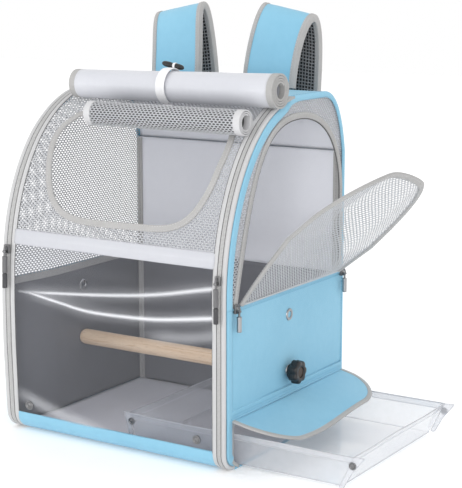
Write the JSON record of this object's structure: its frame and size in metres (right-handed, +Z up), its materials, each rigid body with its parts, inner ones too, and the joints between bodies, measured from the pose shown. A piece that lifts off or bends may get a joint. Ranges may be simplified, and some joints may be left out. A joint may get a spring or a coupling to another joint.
{
  "type": "bird travel carrier",
  "caption": "Soft-sided backpack carrier for a bird, with a clear window, mesh front and sides, a hinged mesh side door, a wooden perch and a pull-out tray.",
  "frame": {"origin": "centre of the underside, on the surface that the carrier stands on", "axes": "+X to the side with the tray and the door, +Y to the back with the straps, +Z up"},
  "size_m": [0.4862, 0.3263, 0.5282],
  "materials": {
    "blue_cloth": "light blue polyester cloth, fine plain weave",
    "grey_lining": "grey coated lining",
    "clear_sheet": "clear soft PVC sheet, glossy",
    "white_cloth": "silver-white coated cloth, satin",
    "white_mesh": "white net with diamond openings",
    "grey_binding": "grey folded tape",
    "white_piping": "white piping",
    "zip_tape": "grey coil zip on white tape",
    "dark_metal": "dark nickel plate",
    "steel": "plain steel",
    "black_mesh": "black air mesh over foam",
    "black_webbing": "black webbing",
    "black_plastic": "black moulded plastic",
    "elastic": "white elastic",
    "beech": "pale beech, fine sanded"
  },
  "bodies": {
    "carrier": {"floor_panel": "blue_cloth", "floor_liner": "grey_lining", "front_band": "blue_cloth", "front_window": "clear_sheet", "window_strip": "white_cloth", "front_mesh": "white_mesh", "front_opening_binding": "grey_binding", "hoop_left": "white_piping", "hoop_right": "white_piping", "front_zips": "zip_tape", "front_edging": "white_piping", "window_snaps": "dark_metal", "side_panel_right": "blue_cloth", "side_panel_left": "blue_cloth", "side_liners": "grey_lining", "side_borders": "blue_cloth", "side_mesh_right": "white_mesh", "side_mesh_left": "white_mesh", "door_opening_binding": "grey_binding", "left_strip": "grey_binding", "slot_binding": "grey_binding", "back_panel": "blue_cloth", "back_board": "grey_lining", "back_liner": "grey_lining", "back_cushion": "black_mesh", "top_panel": "blue_cloth", "corner_trims": "grey_binding", "hinge_seams": "blue_cloth", "perch_eyelets": "dark_metal", "perch": "beech", "shade_roll": "white_cloth", "roll_tie": "elastic", "roll_toggle": "black_plastic", "mesh_roll": "white_mesh", "strap_left": "blue_cloth", "strap_right": "blue_cloth", "strap_linings": "black_mesh", "strap_webbing": "black_webbing", "strap_locks": "black_plastic", "strap_anchors": "blue_cloth", "handle_anchors": "black_webbing", "door_sliders": "dark_metal"},
    "side_door": {"side_door_net": "white_mesh", "side_door_binding": "grey_binding"},
    "tray": {"tray_shell": "clear_sheet", "tray_snaps": "dark_metal"},
    "flap": {"tray_flap": "blue_cloth", "tray_flap_binding": "grey_binding"},
    "zip_left": {"zip_slider_left": "dark_metal"},
    "zip_right": {"zip_slider_right": "dark_metal"},
    "pull_left": {"zip_pull_left": "dark_metal"},
    "pull_right": {"zip_pull_right": "dark_metal"},
    "door_pull_a": {"door_pull_front": "dark_metal"},
    "door_pull_b": {"door_pull_rear": "dark_metal"},
    "screw_right": {"knob_right": "black_plastic", "stud_right": "steel"},
    "screw_left": {"knob_left": "black_plastic", "stud_left": "steel"},
    "handle": {"carry_handle": "black_webbing"}
  },
  "joints": [
    {"name": "side_door_hinge", "type": "hinge", "parent": "carrier", "child": "side_door", "pos_m": [0.16, 0, 0.191], "axis": [0, 1, 0], "range_deg": [-46, 85]},
    {"name": "tray_slide", "type": "slide", "parent": "carrier", "child": "tray", "axis": [1, 0, 0], "range_m": [-0.153, 0.115]},
    {"name": "tray_flap_hinge", "type": "hinge", "parent": "carrier", "child": "flap", "pos_m": [0.1618, 0, 0.061], "axis": [0, 1, 0], "range_deg": [-40, 0]},
    {"name": "zip_left_slide", "type": "slide", "parent": "carrier", "child": "zip_left", "axis": [0, 0, 1], "range_m": [-0.175, 0]},
    {"name": "zip_right_slide", "type": "slide", "parent": "carrier", "child": "zip_right", "axis": [0, 0, 1], "range_m": [-0.17, 0]},
    {"name": "pull_left_swing", "type": "hinge", "parent": "zip_left", "child": "pull_left", "pos_m": [-0.1515, -0.1452, 0.22825], "axis": [-1, 0, 0], "range_deg": [0, 85]},
    {"name": "pull_right_swing", "type": "hinge", "parent": "zip_right", "child": "pull_right", "pos_m": [0.1515, -0.1452, 0.22325], "axis": [-1, 0, 0], "range_deg": [0, 85]},
    {"name": "door_pull_front_swing", "type": "hinge", "parent": "carrier", "child": "door_pull_a", "pos_m": [0.166, 0, 0.18825], "axis": [0, -1, 0], "range_deg": [0, 85]},
    {"name": "door_pull_rear_swing", "type": "hinge", "parent": "carrier", "child": "door_pull_b", "pos_m": [0.166, 0, 0.18825], "axis": [0, -1, 0], "range_deg": [0, 85]},
    {"name": "perch_screw_right", "type": "hinge", "parent": "carrier", "child": "screw_right", "pos_m": [0.1612, 0.004, 0.09], "axis": [1, 0, 0], "continuous": true},
    {"name": "perch_screw_left", "type": "hinge", "parent": "carrier", "child": "screw_left", "pos_m": [-0.1612, 0.004, 0.09], "axis": [-1, 0, 0], "continuous": true},
    {"name": "carry_handle_hinge", "type": "hinge", "parent": "carrier", "child": "handle", "pos_m": [0, 0.032, 0.4253], "axis": [1, 0, 0], "range_deg": [0, 100]}
  ]
}
